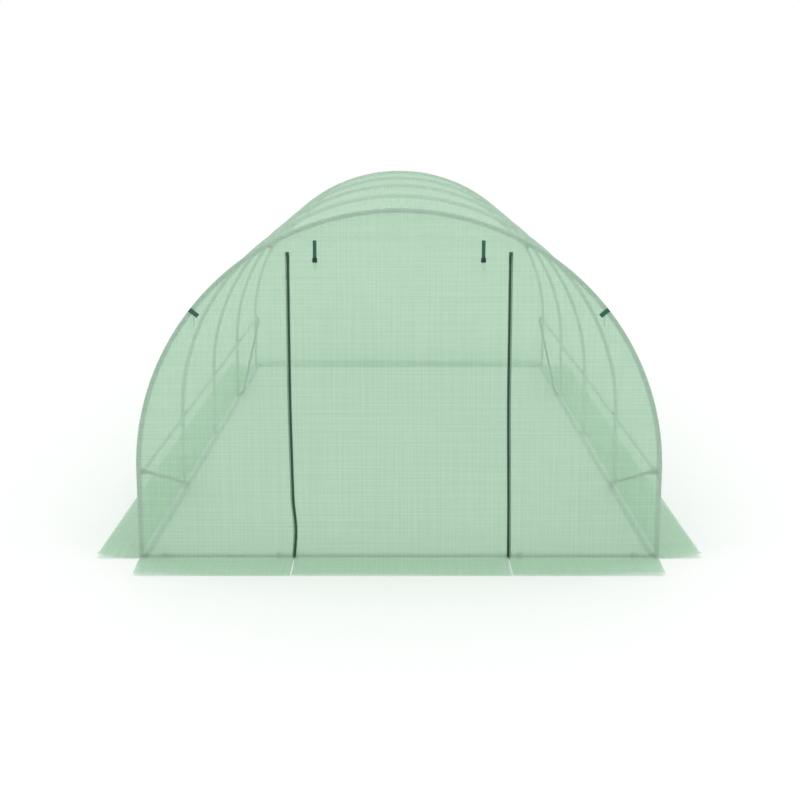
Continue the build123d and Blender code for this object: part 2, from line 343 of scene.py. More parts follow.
def settle(piece, slot_name, *nodes):
    """Finish a piece: its place goes into its mesh, and it rides on the tunnel."""
    piece.data.transform(piece.matrix_world)
    piece.matrix_world = Matrix.Identity(4)
    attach(piece, "root")
    if nodes:
        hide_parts(*nodes)
    start_fresh()
    print(piece.name, len(piece.data.polygons), "faces")
    return piece


# %% [markdown]
# A weave has to follow the cloth, so each sheet gets its own map, in metres along and across it,
# taken before the folds move it. Then the folds are pressed in. The end walls are finished in the
# same steps.

# %% Map the cover and fold it
corner_draw = 0.014  # how far a skirt's outer corner is drawn in
corner_lift = 0.026  # and how far it stands off the ground


def mark_hem(piece, test):
    """Give the faces whose middle passes the test the piece's second material."""
    for face in piece.data.polygons:
        face.material_index = 1 if test(face.center) else 0
    print(piece.name, "hem faces", sum(f.material_index for f in piece.data.polygons))


def map_sheet(piece, place):
    """Give a sheet a map called film, where place turns a point into metres on the cloth."""
    layer = piece.data.uv_layers.get("film") or piece.data.uv_layers.new(name="film")
    spots = [place(vertex.co) for vertex in piece.data.vertices]
    for loop in piece.data.loops:
        layer.data[loop.index].uv = spots[loop.vertex_index]
    layer.active = True
    layer.active_render = True


def fold_sheet(piece, move):
    """Move each point of a sheet by what move gives for it."""
    for vertex in piece.data.vertices:
        vertex.co += move(vertex.co.copy())
    piece.data.update()


def finish_sheet(piece, in_hem, place, move, *nodes):
    """Mark a sheet's hems, map it, fold it, and settle it in place of the nodes."""
    mark_hem(piece, in_hem)
    map_sheet(piece, place)
    fold_sheet(piece, move)
    smooth(piece)
    settle(piece, "green_film", *nodes)


def cover_move(co):
    """Hollow between the hoops, folds from hoop to hoop, and waves in the skirts."""
    between = abs(sin(pi * (co.y - first_hoop) / bay)) if abs(co.y) < -first_hoop else 0.0
    held = ease(end_y - abs(co.y), 0.12)
    side = 1 if co.x >= 0 else -1
    girth = girth_place(co)
    if abs(co.x) > film_x + touch and co.z < springing:
        out = abs(co.x) - film_x
        wave = ground_wave(co.y, out, 11.0 + side)
        corner = ease(out, 0.28) * (1 - ease(end_y - abs(co.y), 0.22))
        return Vector((-corner_draw * side * corner, 0, wave + corner_lift * corner ** 2))
    inward = Vector((-side, 0, 0))
    amount = bay_hollow * between * ease(co.z, 0.06)
    if co.z >= springing:
        inward = Vector((-co.x, 0, springing - co.z)).normalized()
    slack = folds(co.y, girth, 2.0) * ease(between, 0.9) * held * ease(co.z - 0.02, 0.1)
    return inward * (amount + slack)


finish_sheet(
    cover, lambda co: abs(co.x) > skirt_x - hem or abs(co.y) > end_y - hem,
    lambda co: (girth_place(co), co.y), cover_move, "cover_left_wall", "cover_left_haunch",
    "cover_crown", "cover_right_haunch", "cover_right_wall", "left_skirt", "right_skirt",
)

# %% [markdown]
# An end wall is one cut of film in the shape of the arch, welded to the cover along its edge, with
# its own skirt. A filled circle is sliced at the springing, pulled down to the ground, and inset
# once, so that the rim left over is the doubled seam where wall and cover are joined. The foot is
# pulled outward as the skirt. The front wall has an opening between the zips, and the door flap is
# the same outline cut the other way round.

# %% End wall helpers
seam = 0.03  # doubled film where wall and cover are joined
foot_height = skirt_z + turn_radius
foot_strip = 0.030  # where wall and skirt are welded together
slit_gap = 0.012  # between the front skirts at their outer edge
zip_shown = 0.018  # of each zip's tape between the film edges sewn to it
zip_head = 0.02  # height in which the film edges close above a zip
end_draw = 0.02  # how far the corner of an end skirt is drawn in
end_lift = 0.01  # and how far it stands off the ground


def cut_grid(half_width, top):
    """Slice the sheet upright and level into a mesh fine enough to fold."""
    columns = round(2 * half_width / film_grid)
    rows = round((top - foot_height) / film_grid)
    for i in range(1, columns):
        slice_all((half_width * (2 * i / columns - 1), 0, 0), (1, 0, 0))
    for i in range(1, rows):
        slice_all((0, 0, foot_height + (top - foot_height) * i / rows), (0, 0, 1))


def arch_blank(name, facing, rim=True):
    """The arch in film at one end, down to its foot, in edit mode, with its rim and grid cut."""
    start_fresh()
    bpy.ops.mesh.primitive_circle_add(
        vertices=bow_sides, radius=film_radius, fill_type="NGON",
        location=(0, facing * end_y, springing), rotation=(-facing * pi / 2, 0, 0),
    )
    piece = begin(name)
    slice_all((0, 0, springing), (0, 0, 1), drop_back=True)
    pick(piece, "EDGE", lambda co: co.z < springing + touch)
    pull((0, 0, foot_height - springing))
    pick_all()
    bpy.ops.mesh.dissolve_limited(angle_limit=radians(1), delimit=set())
    if rim:
        pick_all()
        bpy.ops.mesh.inset(thickness=seam, use_even_offset=True)
        cut_grid(film_radius, springing + film_radius)
    return piece


def finish_foot(piece, facing, heights):
    """Slice a wall level at these heights, and lay its foot out along the ground."""
    for height in heights:
        slice_all((0, 0, height), (0, 0, 1))
    pick(piece, "EDGE", lambda co: co.z < foot_height + touch)
    lay_on_ground(Vector((0, facing, 0)), skirt_y - end_y - turn_radius - hem)
    pull((0, facing * hem, 0))
    leave()
    return piece


def wall_place(co):
    """A point of an end wall in metres on the cloth: its skirt runs on below its foot."""
    return (co.x, co.z - max(0.0, abs(co.y) - end_y))


# %% [markdown]
# The rear wall is the whole arch and has no door, so it is the plain case and comes first. The
# functions here say where an end wall is doubled and how its film moves, and the front wall and the
# door use them too.

# %% Rear wall
def rim_depth(co):
    """How far inside the arch's edge a point of an end wall lies."""
    if co.z >= springing:
        return film_radius - hypot(co.x, co.z - springing)
    return film_radius - abs(co.x)


def in_seam(co):
    """Whether a point of an end wall is in a doubled strip: rim, foot, or the skirt's hem."""
    if abs(co.y) > end_y + 0.001:
        return abs(co.y) > skirt_y - hem
    return rim_depth(co) < seam * 0.9 or co.z < foot_strip


def edge_move(co, out, side):
    """How far a film edge stands back from a zip, and below it from the slit in the skirt."""
    if side == 0 or abs(abs(co.x) - zip_line) > 0.002:
        return 0.0
    back = zip_shown / 2 * ease(zip_top - co.z, zip_head)
    if out > touch:
        back = 0.001 + slit_gap / 2 * ease(out, 0.2)
    return side * back * (1 if co.x > 0 else -1)


def wall_move(facing, seed, calm, side=0):
    """Folds for an end wall and waves for its skirt. calm gives how free a point is, 0 to 1.

    side is where this sheet lies at a zip: 1 outside the door, -1 inside it, 0 at the rear.
    """
    def move(co):
        out = abs(co.y) - end_y
        across = edge_move(co, out, side) + (zip_sway(co) if facing < 0 else 0.0)
        if co.z < foot_height and out > touch:
            corner = ease(abs(co.x) - 1.1, 0.4) * ease(out, 0.28)
            across -= end_draw * corner * (1 if co.x > 0 else -1)
            return Vector((across, 0, ground_wave(co.x, out, seed) + end_lift * corner))
        free = ease(rim_depth(co) - seam, 0.25) * ease(co.z - foot_height, 0.2) * calm(co)
        depth = folds(co.z, co.x, seed) + 1.4 * folds(co.x, co.z * 0.8, seed + 20)
        return Vector((across, facing * depth * free, 0))
    return move


rear = finish_foot(arch_blank("rear_film", 1), 1, [foot_strip])
finish_sheet(
    rear, in_seam, wall_place, wall_move(1, 31.0, lambda co: 1.0), "rear_wall", "rear_skirt",
)

# %% [markdown]
# The front wall is the same arch with the doorway cut out between the zips. It could be put
# together from panels, as the real one is, but a single sheet that is sliced along the zips and the
# door head keeps its weave in line. Its folds fade out beside the zips and under the straps, and
# its edges stand back from each zip by as much of the tape as shows.

# %% Front wall around the door
strap_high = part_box("door_straps")[1]
tail_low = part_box("strap_tails")[0].z
strap_width = 0.020
flat_strip = 0.012  # of film that lies flat beside what holds it
far = 9.0
strap_x = strap_high.x - strap_width / 2
front_heights = (foot_strip, zip_top, zip_top - zip_head)  # where a zip's edges change


def in_door(co):
    """Whether a point of the front wall belongs to the door flap."""
    return abs(co.x) < zip_line and co.z < door_head


def from_hold(co):
    """How far a point of the front wall is from the door's edge or from a strap that lies on it."""
    beside = abs(abs(co.x) - zip_line) if co.z < door_head else far
    above = abs(co.z - door_head) if abs(co.x) < zip_line else far
    corner = hypot(abs(co.x) - zip_line, co.z - door_head)
    strap = hypot(abs(co.x) - strap_x, max(0.0, tail_low - co.z, co.z - door_head))
    return min(beside, above, corner, strap)


def cut_door(piece, drop):
    """Cut a wall along both zips and the door head, and drop the faces that drop names."""
    for side in (-1, 1):
        slice_all((side * zip_line, 0, 0), (1, 0, 0))
    slice_all((0, 0, door_head), (0, 0, 1))
    pick(piece, "FACE", drop)
    bpy.ops.mesh.delete(type="FACE")


front = arch_blank("front_film", -1)
cut_door(front, in_door)
finish_foot(front, -1, front_heights)
finish_sheet(
    front, in_seam, wall_place,
    wall_move(-1, 47.0, lambda co: ease(from_hold(co) - flat_strip, 0.15), 1),
    "front_gable", "front_left_panel", "front_right_panel", "front_skirts",
)

# %% [markdown]
# The door flap unzips and rolls up, so it is a sheet of its own: the arch again, with all but the
# doorway dropped. It hangs looser than the walls, so its folds are half as deep again.

# %% Door flap
door = arch_blank("door_film", -1, rim=False)
cut_door(door, lambda co: not in_door(co))
cut_grid(zip_line, door_head)
finish_foot(door, -1, front_heights)
finish_sheet(
    door, in_seam, wall_place,
    wall_move(-1, 63.0, lambda co: 1.5 * ease(from_hold(co) - flat_strip, 0.2), -1),
    "door_flap", "door_skirt",
)

# %% [markdown]
# The rest of the soft trim is strips: zip tapes, straps, webbing tabs and film ties. Each starts as
# one upright plane, whose end edge is then drawn on round whatever it wraps. Thickness comes last,
# from a Solidify modifier, because a single sheet is much easier to bend than a slab.

# %% Strip helper
def thicken(piece, thickness):
    """Give a strip its thickness, half of it on each side."""
    shape_by(piece, "SOLIDIFY", thickness=thickness, offset=0)


def draw_strip(name, width, top, bottom, out, from_z=None, steps=()):
    """An upright strip this far in front of Y = 0, drawn on from the edge at from_z by steps."""
    start_fresh()
    middle = (0, -out, (top + bottom) / 2)
    bpy.ops.mesh.primitive_plane_add(size=1, location=middle, rotation=(pi / 2, 0, 0))
    piece = begin(name)
    pick_all()
    bpy.ops.transform.resize(value=(width, 1, top - bottom), center_override=middle)
    if steps:
        pick(piece, "EDGE", lambda co: abs(co.z - from_z) < touch)
        for back, up in steps:
            pull((0, back, up))
    leave()
    map_sheet(piece, lambda co: (co.x, co.z))
    return piece


# %% [markdown]
# A zip is two woven tapes with a moulded chain between them. The tape is one long strip, sliced so
# that it can follow the zip's drift. The chain is one tooth, a bevelled cube, repeated by an Array
# modifier: alternate teeth reach a little to the left and to the right, as closed teeth do. The
# film's edges lie over the tape, and a row of stitches holds each.

# %% Zip tapes
tape_step = 0.05  # from slice to slice
tape_thick = 0.0006
tooth_pitch = 0.006
stitch_pitch = 0.0095
stitch_inset = 0.0025  # from a film edge to its stitches


def follow_zip(piece, foot):
    """Carry a piece that was made upright at X = 0 to its foot, and along the zip's drift."""
    fold_sheet(piece, lambda co: foot)
    fold_sheet(piece, lambda co: Vector((zip_sway(co), 0, 0)))
    return piece


def make_tape(side):
    piece = draw_strip("zip_tapes", zip_tape, zip_top, skirt_z, 0.0)
    edit()
    for i in range(1, ceil(zip_top / tape_step)):
        slice_all((0, 0, i * tape_step), (0, 0, 1))
    leave()
    thicken(piece, tape_thick)
    return follow_zip(piece, Vector((side * zip_line, tape_thick - end_y, 0)))


def join_pair(make):
    """Make a piece at the left and at the right, and join the two."""
    left, right = make(-1), make(1)
    make_active(left)
    right.select_set(True)
    bpy.ops.object.join()
    return left


tapes = join_pair(make_tape)
settle(tapes, "zip_tape", "left_zip", "right_zip")


# %% [markdown]
# The chain's teeth stand out of the tape and catch the light. They could be a ribbed bump in the
# tape's material, but that has no shape of its own. So one small block
# is bevelled and repeated twice: once as its twin to the side, and then both of them upwards.

# %% Zip teeth
def repeat(piece, step, count):
    """Copy a piece along a line, by the same step each time."""
    shape_by(
        piece, "ARRAY", use_relative_offset=False, use_constant_offset=True,
        constant_offset_displace=step, count=count,
    )


def make_teeth(side):
    start_fresh()
    bpy.ops.mesh.primitive_cube_add(size=1)
    piece = begin("zip_teeth")
    bpy.ops.transform.resize(value=(0.0062, 0.0022, 0.0024), center_override=(0, 0, 0))
    pick(piece, "EDGE", lambda co: co.y < -0.001)
    bpy.ops.mesh.bevel(offset=0.0007, segments=2)
    leave()
    repeat(piece, (0.0012, 0, tooth_pitch / 2), 2)
    repeat(piece, (0, 0, tooth_pitch), int((zip_top - 0.012) / tooth_pitch))
    return follow_zip(piece, Vector((side * zip_line - 0.0006, -end_y - 0.0007, 0.006)))


teeth = join_pair(make_teeth)
settle(teeth, "zip_slider")

# %% [markdown]
# One row of stitches on each film edge shows as a dotted line beside the zip. A stitch is a bar of
# six sides, which is enough at this size, repeated across the zip and then upwards.

# %% Zip stitches
def make_zip_stitches(side):
    """Two rows of stitches, one on each film edge beside a zip."""
    start_fresh()
    bpy.ops.mesh.primitive_cylinder_add(vertices=6, radius=0.0006, depth=0.0062)
    piece = name_it("zip_stitches")
    beside = zip_shown / 2 + stitch_inset
    repeat(piece, (2 * beside, 0, 0), 2)
    repeat(piece, (0, 0, stitch_pitch), int((zip_top - zip_head) / stitch_pitch))
    return follow_zip(piece, Vector((side * zip_line - beside, -end_y - 0.0003, 0.016)))


zip_stitches = join_pair(make_zip_stitches)
settle(zip_stitches, "green_film")

# %% [markdown]
# From here on most pieces come in sets: two straps, four tabs, dozens of ties and nuts, hundreds of
# stitches. An Array modifier sets its copies along one line, and these are turned each to its own
# wall or tube. So each kind is modelled once, a duplicate is set to each place, and all of them are
# joined into one piece.

# %% Copies of a piece
def spread(piece, places):
    """Copy a finished piece to each place, and join the copies into one piece."""
    copies = []
    for place in places:
        make_active(piece)
        bpy.ops.object.duplicate()
        copy = bpy.context.active_object
        copy.matrix_world = place
        copies.append(copy)
    name = piece.name
    bpy.data.objects.remove(piece)
    make_active(copies[0])
    for copy in copies[1:]:
        copy.select_set(True)
    if len(copies) > 1:
        bpy.ops.object.join()
    bpy.ops.object.transform_apply()
    return name_it(name)


def place_all(piece, places, slot_name, node):
    """Copy a piece to its places as one piece, and settle it in place of a node."""
    return settle(spread(piece, places), slot_name, node)


# %% [markdown]
# Two webbing straps hold the rolled-up door. Each is sewn on at the door head, hangs down over the
# film and runs on behind the black buckle. A milky plastic loop hangs below it, for the other end
# of the strap. Strap and loop are modelled once in the middle and copied to both sides.

# %% Straps and loops
buckle_low, buckle_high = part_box("strap_buckles")
bar = 0.004  # a buckle's bars are this wide
webbing_out = 0.0018  # from the film's middle to the middle of what lies on it


def both_straps():
    return [Matrix.Translation((side * strap_x, -end_y, 0)) for side in (-1, 1)]


def make_straps():
    top, foot = door_head + 0.003, buckle_high.z + 0.003
    steps = [(0.0012, -0.003), (0, buckle_low.z + bar / 2 - buckle_high.z)]
    piece = draw_strip("door_webbing", strap_width, top, foot, webbing_out, foot, steps)
    thicken(piece, 0.001)
    return piece


def make_loops():
    piece = draw_strip("strap_loops", 0.015, buckle_low.z + bar / 2, tail_low, webbing_out)
    edit()
    pick_all()
    bpy.ops.mesh.inset(thickness=0.0032)
    bpy.ops.mesh.delete(type="FACE")
    leave()
    thicken(piece, 0.0016)
    shape_by(piece, "BEVEL", width=0.0005, segments=2)
    return piece


straps = place_all(make_straps(), both_straps(), "green_webbing", "door_straps")
strap_loops = place_all(make_loops(), both_straps(), "clear_plastic", "strap_tails")

# %% [markdown]
# The guy tabs are short loops of the same webbing, folded over and sewn to the rim of both end
# walls, with the fold at the cover's edge for a guy line. A thread end hangs from each. The tab is
# modelled upright and then turned to point out from the middle of the bow.

# %% Guy tabs
tab_outer = 0.003  # from the cover's edge inward
tab_inner = 0.062
tab_width = 0.025
tab_angle = radians(38.7)
cover_edge = film_radius + 0.001


def place_at(origin, x_dir, z_dir):
    """A place and a turn for a copy, from where its own X and Z should point."""
    x, z = Vector(x_dir).normalized(), Vector(z_dir).normalized()
    turn = Matrix((x, z.cross(x), z)).transposed()
    return Matrix.Translation(origin) @ turn.to_4x4()


def tab_places():
    """Where the four tabs go: front and rear, left and right."""
    places = []
    for facing in (-1, 1):
        for side in (-1, 1):
            radial = Vector((side * cos(tab_angle), 0, sin(tab_angle)))
            origin = Vector((0, facing * end_y, springing)) + radial * cover_edge
            front_to_back = Vector((0, -facing, 0))
            places.append(place_at(origin, front_to_back.cross(radial), radial))
    return places


def make_tabs():
    top = -tab_outer - 0.002
    steps = [(-0.0004, 0.0014), (-0.0012, 0.0006), (-0.0004, -0.0014), (0, -0.046)]
    piece = draw_strip("guy_webbing", tab_width, top, -tab_inner, webbing_out, top, steps)
    thicken(piece, 0.0012)
    return piece


tabs = place_all(make_tabs(), tab_places(), "green_webbing", "guy_tabs")

# %% [markdown]
# A thread end is a cord: one NURBS line that hangs straight down from the tab's lower edge, with a
# small curl left over from the reel. Blender counts the radius of a curve's points as part of its
# box, so the radius is the thread's own and the bevel is left at 1.

# %% Thread ends
thread_length = 0.066
thread_thick = 0.002


def hang_thread(name, spot, facing, side):
    data = bpy.data.curves.new(name, "CURVE")
    data.dimensions = "3D"
    line = data.splines.new("NURBS")
    route = (
        (0, 0, 0), (0, 0.15, -0.1), (0.05, 0.2, -0.35), (-0.04, 0.1, -0.62), (0.05, 0.08, -0.97),
    )
    line.points.add(len(route) - 1)
    for point, (across, out, up) in zip(line.points, route):
        step = Vector((side * across, facing * out * 0.1, up)) * thread_length
        point.co = (*(spot + step), 1)
        point.radius = thread_thick / 2
    line.order_u = 3
    line.use_endpoint_u = True
    data.bevel_depth = 1.0
    data.bevel_resolution = 2
    data.use_fill_caps = True
    thread = bpy.data.objects.new(name, data)
    bpy.context.scene.collection.objects.link(thread)
    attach(thread, "root")
    return thread


threads = []
for place, name in zip(tab_places(), ("front_left", "front_right", "rear_left", "rear_right")):
    facing, side = (-1 if "front" in name else 1), (-1 if "left" in name else 1)
    spot = place @ Vector((0, -0.0052, -tab_inner * 0.55)) - Vector((0, 0, tab_width / 2 * 0.8))
    threads.append(hang_thread(f"thread_{name}", spot, facing, side))
    print("thread", name, [round(c, 3) for c in spot])

# %% [markdown]
# Film ties hold the cover to the tubes. Each is a band of film round the inner side of a tube, with
# both tails run back to the cover and one welded flat on it. It starts as an open cylinder round
# the tube. The half that faces the cover is sliced off, and the two edges left are drawn outward.

# %% Film ties
tie_width = 0.026
tie_play = 0.0011


def make_tie(name, tube, reach):
    """A tie round a tube along Y, with its tails towards +X, this far from the tube's middle."""
    start_fresh()
    radius = tube / 2 + tie_play
    bpy.ops.mesh.primitive_cylinder_add(
        vertices=24, radius=radius, depth=tie_width, end_fill_type="NOTHING",
        rotation=(pi / 2, 0, 0),
    )
    piece = begin(name)
    slice_all((0, 0, 0), (1, 0, 0), drop_front=True)
    pick(piece, "EDGE", lambda co: co.x > -touch)
    pull((reach - 0.0008, 0, 0))
    pick(piece, "EDGE", lambda co: co.x > reach - 0.001 and co.z > 0)
    pull((0.0003, 0, 0.002))
    pull((0, 0, 0.010))
    for y in (-0.008, 0.0, 0.008):
        slice_all((0, y, 0), (0, 1, 0))
    leave()
    map_sheet(piece, lambda co: (co.x + co.z, co.y))

    def crumple(co):
        free = 1 - ease(co.x - reach * 0.4, reach * 0.5)
        return Vector((0, 0, 0.0007 * free * noise.noise(co * 160)))

    fold_sheet(piece, crumple)
    thicken(piece, 0.0005)
    return piece


def tie_all(name, node, tube, reach, places):
    """One tie at each of the places, as one piece that stands for the node."""
    ties = spread(make_tie(name, tube, reach), places)
    smooth(ties)
    settle(ties, "green_film", node)
    return ties


# %% [markdown]
# The inner hoops have a tie on each side, and so has each ground rail in the middle of every bay. A
# tie could be modelled at each spot. It is quicker to work out the spots, with X towards the cover,
# and to set a copy of one tie at each.

# %% Ties on the hoops and the ground rails
film_inside = film_radius - 0.001
hoop_ys = [first_hoop + bay * i for i in range(hoop_count)]
hoop_tie_angle = radians(20.5)
hoop_places = []
for y in hoop_ys[1:-1]:
    for side in (-1, 1):
        out = Vector((side * cos(hoop_tie_angle), 0, sin(hoop_tie_angle)))
        spot = Vector((0, y, springing)) + out * hoop_radius
        hoop_places.append(place_at(spot, out, (0, -1, 0)))
hoop_reach = film_inside - hoop_radius
tie_pieces = [tie_all("hoop_tie_film", "hoop_ties", hoop_tube, hoop_reach, hoop_places)]

ground_z = (rail_low.z + rail_high.z) / 2
rail_x = hoop_radius - hoop_tube / 2 - clearance - rail_tube / 2
rail_places = [
    place_at((side * rail_x, y + bay / 2, ground_z), (side, 0, 0), (0, 0, 1))
    for y in hoop_ys[:-1] for side in (-1, 1)
]
rail_reach = film_inside - rail_x
tie_pieces.append(
    tie_all("rail_tie_film", "ground_rail_ties", rail_tube, rail_reach, rail_places)
)

# %% [markdown]
# The sills across both ends carry the foot of the end walls, by two ties on each side of the
# doorway. The rear has them at the same places.

# %% Ties on the sills
sill_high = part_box("front_sill_ties")[1]
sill_tie_xs = (sill_high.x - tie_width / 2, zip_line + 0.075)
sill_y = -first_hoop - 0.010
sill_reach = end_y - 0.001 - sill_y
for facing, node in ((-1, "front_sill_ties"), (1, "rear_sill_ties")):
    places = [
        place_at((side * x, facing * sill_y, ground_z), (0, facing, 0), (0, 0, 1))
        for x in sill_tie_xs for side in (-1, 1)
    ]
    name = node.replace("ties", "tie_film")
    tie_pieces.append(tie_all(name, node, rail_tube, sill_reach, places))

# %% [markdown]
# Where a rail meets a hoop, a bolt goes through the pressed ends and the hoop. From inside one sees
# its washer, its nut and a little of its thread. The three are bevelled cylinders, joined as one
# fixing and copied to all thirty joints, each on top of as many pressed ends as its bolt holds.

# %% Nuts and bolt ends
tab_pitch = 0.0027  # one pressed end and the gap over it


def make_disc(sides, radius, low, high, edge):
    """A short upright bar with its rims bevelled."""
    start_fresh()
    bpy.ops.mesh.primitive_cylinder_add(
        vertices=sides, radius=radius, depth=high - low, location=(0, 0, (low + high) / 2),
    )
    piece = begin("frame_nuts")
    pick(piece, "EDGE", lambda co: abs(abs(co.z - (low + high) / 2) - (high - low) / 2) < touch)
    bpy.ops.mesh.bevel(offset=edge, segments=1)
    leave()
    return piece


def make_fixing():
    washer = make_disc(20, 0.0075, 0.0, 0.0012, 0.0003)
    nut = make_disc(6, 0.0058, 0.0012, 0.0062, 0.0006)
    thread = make_disc(12, 0.003, 0.0062, 0.0095, 0.0005)
    make_active(nut)
    washer.select_set(True)
    thread.select_set(True)
    bpy.ops.object.join()
    return name_it("frame_nuts")


def joint_rows():
    """Each row of joints: a place on the hoop's inner side, the way in, and the ends per bolt."""
    seat = hoop_radius - hoop_tube / 2
    roof = radians(61)
    roof_place = (seat * cos(roof), springing + seat * sin(roof))
    return (
        ((seat, ground_z), (-1, 0, 0), (2, 3, 2, 3, 3)),
        ((seat, springing), (-1, 0, 0), (2, 2, 2, 2, 3)),
        (roof_place, (-cos(roof), 0, -sin(roof)), (1, 2, 2, 2, 2)),
    )


fixing_places = []
for (x, z), inward, ends in joint_rows():
    for y, count in zip(hoop_ys, ends):
        for side in (-1, 1):
            way = Vector((side * inward[0], 0, inward[2]))
            spot = Vector((side * x, y, z)) + way * (count * tab_pitch + 0.0001)
            fixing_places.append(place_at(spot, (0, 1, 0), way))
nuts = spread(make_fixing(), fixing_places)
smooth(nuts, 35)
settle(nuts, "galvanised_tube")

# %% [markdown]
# Thread shows wherever webbing and film are sewn. One stitch is a short six-sided bar with its ends
# drawn in, a few millimetres long, and it is copied along each line of sewing: two rows over the
# door head, a box on each strap and a box on each guy tab.

# %% Stitches
def make_stitch(name, length, thick):
    """One stitch along X, standing a little out of Z = 0."""
    start_fresh()
    bpy.ops.mesh.primitive_cylinder_add(
        vertices=6, radius=thick / 2, depth=length, rotation=(0, pi / 2, 0),
    )
    piece = begin(name)
    for end in (-1, 1):
        pick(piece, "FACE", lambda co: co.x * end > length * 0.49)
        bpy.ops.mesh.inset(thickness=thick * 0.2)
    leave()
    return piece


def stitch_row(start, end, out, pitch):
    """Places for stitches along a line, lying on a surface that faces out."""
    start, end = Vector(start), Vector(end)
    count = max(1, round((end - start).length / pitch))
    step = (end - start) / count
    return [place_at(start + step * (i + 0.5), step, out) for i in range(count)]


def stitch_box(place, left, right, low, high, out, pitch):
    """A sewn box with a cross in it, on a strip's own front face."""
    corners = [place @ Vector((x, -out, z)) for z in (low, high) for x in (left, right)]
    facing = place.to_3x3() @ Vector((0, -1, 0))
    ends = ((0, 1), (1, 3), (3, 2), (2, 0), (0, 3), (1, 2))
    return [p for a, b in ends for p in stitch_row(corners[a], corners[b], facing, pitch)]


film_stitches = []
for above in (0.004, 0.020):
    z = door_head + above
    left, right = ((side * (zip_line - 0.01), -end_y - 0.0003, z) for side in (-1, 1))
    film_stitches += stitch_row(left, right, (0, -1, 0), 0.009)
head_stitches = spread(make_stitch("head_stitches", 0.0062, 0.0011), film_stitches)
settle(head_stitches, "green_film")

box_stitches = []
for place in both_straps():
    low, high = door_head - 0.018, door_head + 0.001
    box_stitches += stitch_box(place, -0.0075, 0.0075, low, high, 0.0024, 0.0034)
for place in tab_places():
    box_stitches += stitch_box(place, -0.0095, 0.0095, -0.048, -0.022, 0.0045, 0.0036)
trim_stitches = spread(make_stitch("trim_stitches", 0.0026, 0.0007), box_stitches)
settle(trim_stitches, "green_webbing")

# %% [markdown]
# Floor and light. The floor is plain and pale. An even white sky and one very wide sun overhead
# make the soft shadow that the skirts throw on it, and the film glows because light comes through
# it from every side.

# %% Floor and light
start_fresh()
bpy.ops.mesh.primitive_plane_add(size=80, location=(0, 0, -0.001))
floor = name_it("floor")

world = bpy.data.worlds.new("studio")
bpy.context.scene.world = world
world.use_nodes = True
sky = world.node_tree.nodes["Background"]
sky.inputs["Color"].default_value = (1, 1, 1, 1)
sky.inputs["Strength"].default_value = 1.0

sun_data = bpy.data.lights.new("wide_sun", "SUN")
sun_data.energy = 0.72
sun_data.angle = radians(70)
sun = bpy.data.objects.new("wide_sun", sun_data)
sun.rotation_euler = (radians(12), 0, 0)
bpy.context.scene.collection.objects.link(sun)
print("sky", sky.inputs["Strength"].default_value, "and sun", round(sun_data.energy, 2))


# %% [markdown]
# Materials start with the effects that several of them share. Each is a node group with named
# inputs, built once. It gives out only a mask or a height, and the shader itself stays in each
# material. Nodes are usually set out by hand in the shader editor. In a script each would take
# several lines, so a small class gives the common ones short names.

# %% Node helpers
def new_group(name, inputs, outputs):
    """An empty shader group with these sockets: (name, type, value) and (name, type)."""
    group = bpy.data.node_groups.new(name, "ShaderNodeTree")
    for label, kind, value in inputs:
        socket = group.interface.new_socket(label, in_out="INPUT", socket_type=kind)
        if value is not None:
            socket.default_value = value
    for label, kind in outputs:
        group.interface.new_socket(label, in_out="OUTPUT", socket_type=kind)
    entry = group.nodes.new("NodeGroupInput")
    exit_node = group.nodes.new("NodeGroupOutput")
    return group, entry, exit_node


class Tree:
    """Short ways to add and link nodes in one tree."""

    def __init__(self, tree):
        self.tree = tree

    def feed(self, value, socket):
        """Link a socket, or set a plain value."""
        if isinstance(value, bpy.types.NodeSocket):
            self.tree.links.new(value, socket)
        else:
            socket.default_value = value

    def add(self, kind, inputs=(), **settings):
        """Add a node with these settings, and with its inputs linked or set."""
        node = self.tree.nodes.new(kind)
        for key, value in settings.items():
            setattr(node, key, value)
        for label, value in dict(inputs).items():
            self.feed(value, node.inputs[label])
        return node

    def math(self, operation, *values):
        return self.add("ShaderNodeMath", enumerate(values), operation=operation).outputs[0]

    def ramp(self, value, low, high, to_low=0.0, to_high=1.0):
        labels = ("Value", "From Min", "From Max", "To Min", "To Max")
        inputs = zip(labels, (value, low, high, to_low, to_high))
        node = self.add("ShaderNodeMapRange", inputs, interpolation_type="SMOOTHSTEP")
        return node.outputs["Result"]

    def mix(self, factor, a, b):
        inputs = {"Factor": factor, 6: a, 7: b}
        return self.add("ShaderNodeMix", inputs, data_type="RGBA").outputs[2]

    def noise(self, vector, scale, detail=2.0, stretch=None):
        if stretch is not None:
            inputs = {"Vector": vector, "Scale": stretch}
            vector = self.add("ShaderNodeMapping", inputs).outputs["Vector"]
        inputs = {"Vector": vector, "Scale": scale, "Detail": detail}
        return self.add("ShaderNodeTexNoise", inputs).outputs["Fac"]

    def bump(self, height, strength, distance):
        inputs = {"Strength": strength, "Distance": distance, "Height": height}
        return self.add("ShaderNodeBump", inputs).outputs["Normal"]


# %% [markdown]
# The weave comes first, since film, webbing and zip tape all have it. A picture of cloth would show
# where it repeats on a sheet six metres long. So the threads are worked out from the map: stripes
# both ways at the pitch of the weave, and long thin noise that makes each thread a little lighter
# or darker than its neighbours.

